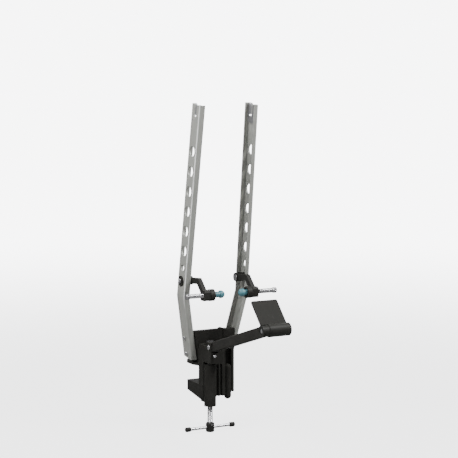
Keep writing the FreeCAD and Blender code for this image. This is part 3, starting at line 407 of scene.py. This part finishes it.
def eased_copy(node, width):
    """The CAD node's own shape with its sharp edges rounded in the mesh."""
    mesh = frame["nodes"][node].data.copy()
    work = bmesh.new()
    work.from_mesh(mesh)
    bmesh.ops.remove_doubles(work, verts=work.verts, dist=SAME_POINT * MM)
    bmesh.ops.dissolve_limit(
        work, angle_limit=math.radians(FLAT_ANGLE), verts=work.verts, edges=work.edges,
    )
    work.to_mesh(mesh)
    work.free()
    draft = bpy.data.objects.new(node + "_draft", mesh)
    bpy.context.scene.collection.objects.link(draft)
    bevel = draft.modifiers.new("rounding", "BEVEL")
    bevel.width = width * MM
    bevel.segments = 2
    bevel.limit_method = "ANGLE"
    bevel.angle_limit = math.radians(ROUNDED_ANGLE)
    bevel.use_clamp_overlap = True
    bevel.miter_outer = "MITER_ARC"
    depsgraph = bpy.context.evaluated_depsgraph_get()
    rounded = bpy.data.meshes.new_from_object(draft.evaluated_get(depsgraph))
    bpy.data.objects.remove(draft)
    return rounded


# ---------------------------------------------------------------- stage, camera and light

WHITE = (0.985, 0.99, 1.0)
BACKGROUND = 7.5          # how bright the plain background looks
FLOOR_GLOW = 3.2          # part of the floor's brightness that takes no shadow
FLOOR_RADIUS = 40.0       # in metres
FLOOR_GAP = 0.0005        # in metres, between the floor and the stand's lowest point
FADE_START = 0.45         # how far from the origin, in metres, the floor begins to fade,
FADE_END = 3.0            # and where it has become the background
FAR_LIGHT = 0.35          # how much light the faded floor really gives off
ROOM_NEAR = 0.1           # light from the near side of the room,
ROOM_FAR = 0.4            # and from its far side
LIT = Vector((0.0, -0.05, 0.2))      # the point that all lights look at


def seen_directly(tree):
    """1 for what the picture shows of the stage itself, 0 for the light it would cast."""
    return tree.nodes.new("ShaderNodeLightPath").outputs["Is Camera Ray"]


def stage():
    """A plain pale floor that fades into the plain background far away."""
    floor_z = cad_bounds[0][2] - FLOOR_GAP
    mesh = mesh_from("floor", lambda work: bmesh.ops.create_circle(
        work, cap_ends=True, segments=96, radius=FLOOR_RADIUS,
        matrix=Matrix.Translation((0, 0, floor_z)),
    ))
    floor = bpy.data.objects.new("floor", mesh)
    bpy.context.scene.collection.objects.link(floor)
    material = bpy.data.materials.new("pale_floor")
    material.use_nodes = True
    mesh.materials.append(material)
    tree = material.node_tree
    shader = tree.nodes["Principled BSDF"]
    shader.inputs["Base Color"].default_value = (0.25, 0.25, 0.25, 1)
    shader.inputs["Roughness"].default_value = 0.9
    shader.inputs["Specular IOR Level"].default_value = 0.1
    shader.inputs["Emission Color"].default_value = (*WHITE, 1)
    glow = tree.nodes.new("ShaderNodeEmission")
    glow.inputs["Color"].default_value = (*WHITE, 1)
    place = tree.nodes.new("ShaderNodeTexCoord")
    distance = tree.nodes.new("ShaderNodeVectorMath")
    distance.operation = "LENGTH"
    fade = tree.nodes.new("ShaderNodeMapRange")
    fade.interpolation_type = "SMOOTHSTEP"
    fade.inputs["From Min"].default_value = FADE_START
    fade.inputs["From Max"].default_value = FADE_END
    mix = tree.nodes.new("ShaderNodeMixShader")
    direct = seen_directly(tree)
    near = tree.nodes.new("ShaderNodeMath")
    near.operation = "MULTIPLY"
    near.inputs[1].default_value = FLOOR_GLOW
    far = tree.nodes.new("ShaderNodeMapRange")
    far.inputs["To Min"].default_value = FAR_LIGHT
    far.inputs["To Max"].default_value = BACKGROUND
    tree.links.new(direct, near.inputs[0])
    tree.links.new(direct, far.inputs["Value"])
    tree.links.new(near.outputs["Value"], shader.inputs["Emission Strength"])
    tree.links.new(far.outputs["Result"], glow.inputs["Strength"])
    tree.links.new(place.outputs["Object"], distance.inputs[0])
    tree.links.new(distance.outputs["Value"], fade.inputs["Value"])
    tree.links.new(fade.outputs["Result"], mix.inputs["Fac"])
    tree.links.new(shader.outputs["BSDF"], mix.inputs[1])
    tree.links.new(glow.outputs["Emission"], mix.inputs[2])
    tree.links.new(mix.outputs["Shader"], tree.nodes["Material Output"].inputs["Surface"])


def surroundings():
    """A dim room with a lighter far side; the picture itself shows it plain white."""
    world = bpy.data.worlds.new("soft_room")
    world.use_nodes = True
    tree = world.node_tree
    background = tree.nodes["Background"]
    background.inputs["Color"].default_value = (*WHITE, 1)
    place = tree.nodes.new("ShaderNodeTexCoord")
    split = tree.nodes.new("ShaderNodeSeparateXYZ")
    room = tree.nodes.new("ShaderNodeMapRange")
    room.inputs["From Min"].default_value = -1.0
    room.inputs["From Max"].default_value = 1.0
    room.inputs["To Min"].default_value = ROOM_NEAR
    room.inputs["To Max"].default_value = ROOM_FAR
    shown = tree.nodes.new("ShaderNodeMix")
    shown.inputs["B"].default_value = BACKGROUND
    tree.links.new(place.outputs["Generated"], split.inputs["Vector"])
    tree.links.new(split.outputs["Y"], room.inputs["Value"])
    tree.links.new(room.outputs["Result"], shown.inputs["A"])
    tree.links.new(seen_directly(tree), shown.inputs["Factor"])
    tree.links.new(shown.outputs["Result"], background.inputs["Strength"])
    bpy.context.scene.world = world


def softbox(name, place, size, power):
    """A rectangular lamp that looks at the stand and isn't seen itself."""
    data = bpy.data.lights.new(name, "AREA")
    data.shape = "RECTANGLE"
    data.size, data.size_y = size
    data.energy = power
    lamp = bpy.data.objects.new(name, data)
    lamp.location = place
    lamp.rotation_euler = (LIT - Vector(place)).to_track_quat("-Z", "Y").to_euler()
    lamp.visible_camera = False
    bpy.context.scene.collection.objects.link(lamp)


def lights():
    """Each lamp's place and size in metres, and its power in watts."""
    softbox("side_softbox", (-1.0, -0.15, 1.05), (0.6, 0.6), 21.5)
    softbox("front_softbox", (0.65, -0.85, 1.4), (0.6, 0.5), 37)
    softbox("low_softbox", (1.3, -2.4, 0.8), (0.6, 0.5), 3)
    softbox("fill_softbox", (-1.3, -1.9, 0.35), (0.6, 0.4), 7)
    softbox("rear_softbox", (0.9, 1.9, 1.5), (1.2, 1.0), 14)


def camera():
    """The photo's own view: from 27.7 degrees to the left, and 6.3 degrees down."""
    data = bpy.data.cameras.new("photo_camera")
    data.lens = 118.3
    data.sensor_width = 36.0
    data.clip_end = 100.0
    view = bpy.data.objects.new("photo_camera", data)
    view.location = (-1.1901, -2.3243, 0.5273)
    view.rotation_euler = (math.radians(83.72), 0, math.radians(-27.68))
    bpy.context.scene.collection.objects.link(view)
    bpy.context.scene.camera = view


# ---------------------------------------------------------------- pieces

# How wide each node's edges are rounded, in millimetres.
ROUNDING = {
    "clamp_body": 0.6, "rear_cover": 0.5, "lower_jaw": 0.8, "spindle_handle": 0.4,
    "gauge_arm": 0.5, "gauge_barrel": 0.3, "gauge_blade": 0.8, "tommy_bar_caps": 0.3,
    "jaw_nut": 0.3, "gauge_pivot_bolt": 0.2, "gauge_pivot_nut": 0.3, "arm_stop_screw": 0.2,
    "barrel_screw": 0.2, "thrust_washer": 0.2, "tommy_bar": 0.3, "handle_pin": 0.2,
    "foot_pins": 0.3, "foot_washers": 0.1, "cover_screws": 0.2,
}
PAIR_ROUNDING = {
    "upright": 0.45, "foot": 0.4, "foot_bolts": 0.2, "axle_seat": 0.3, "seat_rivets": 0.1,
    "caliper": 0.7, "caliper_bolt": 0.2, "caliper_nut": 0.3, "thread_insert": 0.15,
}


def eased_pieces():
    """The nodes whose own shape is right, with rounded edges."""
    widths = dict(ROUNDING)
    for side in ("left", "right"):
        for name, width in PAIR_ROUNDING.items():
            widths[f"{side}_{name}"] = width
    for node, width in widths.items():
        new_piece(node + "_form", eased_copy(node, width), node)


def middle_of(node):
    """A node's centre, and its size along each axis."""
    low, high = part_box(node)
    return (low + high) / 2, high - low


def feeler_screws():
    """Threaded rods of the side feelers, as right-hand threads on both sides."""
    pitch = 1.25 * MM
    depth = 0.55 * MM
    for side in ("left", "right"):
        node = side + "_feeler_rod"
        centre, size = middle_of(node)
        rings = threaded_rings(-size.x / 2, size.x / 2, size.z / 2, pitch)
        mesh = mesh_from(node, lambda work: turned_surface(
            work, rings, ROD_SEGMENTS, place_along_x(centre), thread_radius(pitch, depth)))
        new_piece(side + "_feeler_thread", mesh, node, smooth_angle=60)


def knurl_radius(count, pitch, depth, start, end):
    """Radius of a diamond knurl between two heights; the rest stays plain."""
    narrowness = 5.0          # a groove is 2 / narrowness of their spacing wide

    def radius_at(height, angle, crest):
        if not start < height < end:
            return crest
        first = (count * angle / TURN + height / pitch) % 1.0
        second = (count * angle / TURN - height / pitch) % 1.0
        groove = max(0.0, 1 - narrowness * min(abs(first - 0.5), abs(second - 0.5)))
        return crest - depth * groove
    return radius_at


def feeler_knobs():
    """Knurled ends of the feeler screws."""
    grooves = 22
    pitch = 1.5 * MM
    depth = 0.35 * MM
    edge = 0.7 * MM
    ease = 0.35 * edge
    steps = 40
    for side in ("left", "right"):
        node = side + "_feeler_knob"
        centre, size = middle_of(node)
        half = size.x / 2
        radius = size.z / 2
        rings = [(-half, radius - edge), (-half + ease, radius - ease)]
        rings += [(-half + edge + (2 * half - 2 * edge) * k / steps, radius) for k in range(steps + 1)]
        rings += [(half - ease, radius - ease), (half, radius - edge)]
        knurl = knurl_radius(grooves, pitch, depth, -half + 1.5 * edge, half - 1.5 * edge)
        mesh = mesh_from(node, lambda work: turned_surface(
            work, rings, 6 * grooves, place_along_x(centre), knurl))
        new_piece(side + "_feeler_grip", mesh, node, smooth_angle=40)


def feeler_tips():
    """Soft tips: a domed head that touches the rim, on a neck that covers the rod."""
    dome = 6.6 * MM
    head = 9.5 * MM
    neck = 5.0 * MM
    lip = 0.4 * MM
    flat = 0.05               # the dome's flat middle, as a share of its radius
    steps = 10
    for side, sign in (("left", -1), ("right", 1)):
        node = side + "_feeler_tip"
        centre, size = middle_of(node)
        half = size.x / 2
        radius = size.z / 2
        profile = [
            (-half + dome * (1 - math.cos(angle)), radius * max(flat, math.sin(angle)))
            for angle in (TURN / 4 * k / steps for k in range(steps + 1))
        ]
        profile += [
            (-half + head - 2 * lip, radius), (-half + head - 0.6 * lip, radius - 0.4 * lip),
            (-half + head, radius - 1.6 * lip), (-half + head + 0.3 * lip, neck + lip),
            (-half + head + 1.2 * lip, neck), (half - lip, neck), (half, neck - lip),
        ]
        rings = [(sign * height, r) for height, r in profile]
        mesh = mesh_from(node, lambda work: turned_surface(work, rings, 40, place_along_x(centre)))
        new_piece(side + "_feeler_nose", mesh, node, smooth_angle=50)


def friction_washers():
    """Black discs with a finely serrated rim."""
    serrations = 40
    tooth = 0.35 * MM
    edge = 0.6 * MM
    recess = 0.25 * MM
    for side, sign in (("left", -1), ("right", 1)):
        node = side + "_friction_washer"
        centre, size = middle_of(node)
        half = size.x / 2
        radius = size.z / 2
        recess_radius = radius * 0.58
        middle_radius = radius * 0.54

        def rim(height, angle, crest):
            wave = 0.5 + 0.5 * math.cos(serrations * angle)
            return crest - (tooth * wave if crest > radius - 0.5 * edge else 0.0)

        profile = [
            (-half, radius - 0.3 * edge), (-half + 0.3 * edge, radius), (half - edge, radius),
            (half - 0.4 * edge, radius - 0.4 * edge), (half, radius - 1.4 * edge),
            (half - recess, radius - 2.2 * edge), (half - recess, recess_radius), (half, middle_radius),
        ]
        rings = [(sign * height, r) for height, r in profile]
        mesh = mesh_from(node, lambda work: turned_surface(
            work, rings, serrations * 6, place_along_x(centre), rim))
        new_piece(side + "_friction_disc", mesh, node, smooth_angle=40)


HEAD_PROFILE = [(1.6, 0.0), (0.7, 0.3), (0.15, 1.2), (0.0, 2.2)]     # mm below the top and in from the rim


def clamp_screw():
    """The clamp's spindle: round head on its thrust washer, then thread down to the handle."""
    node = "clamp_spindle"
    low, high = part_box(node)
    centre = (low + high) / 2
    head_top = high.z
    washer_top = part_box("thrust_washer")[1].z
    head_radius = (high.x - low.x) / 2
    handle_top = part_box("spindle_handle")[1].z
    crest = 4.8 * MM
    pitch = 2.0 * MM
    depth = 0.8 * MM
    chamfer = 0.4 * MM
    margin = 0.1 * MM
    handle_gap = 0.5 * MM
    plain_neck = 9.0 * MM
    thread_low = handle_top + handle_gap
    thread_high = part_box("thrust_washer")[0].z - plain_neck
    thread = threaded_rings(thread_low, thread_high, crest, pitch)
    rings = [(low.z, crest - chamfer), (low.z + chamfer, crest)] + thread
    rings += [(thread_high + margin, crest), (washer_top, crest), (washer_top, head_radius)]
    rings += [(head_top - below * MM, head_radius - inside * MM) for below, inside in HEAD_PROFILE]
    cut = thread_radius(pitch, depth)

    def radius_at(height, angle, radius):
        inside = thread_low + margin < height < thread_high - margin
        return cut(height, angle, radius) if inside else radius

    place = Matrix.Translation((centre.x, centre.y, 0))
    mesh = mesh_from(node, lambda work: turned_surface(work, rings, ROD_SEGMENTS, place, radius_at))
    screw = new_piece("clamp_screw", mesh, node, smooth_angle=60)
    screw.data.materials.append(finishes["black_steel"])
    for polygon in screw.data.polygons:
        if polygon.center.z > washer_top - margin:
            polygon.material_index = 1


def main():
    surroundings()
    stage()
    lights()
    camera()
    eased_pieces()
    feeler_screws()
    feeler_knobs()
    feeler_tips()
    friction_washers()
    clamp_screw()


main()
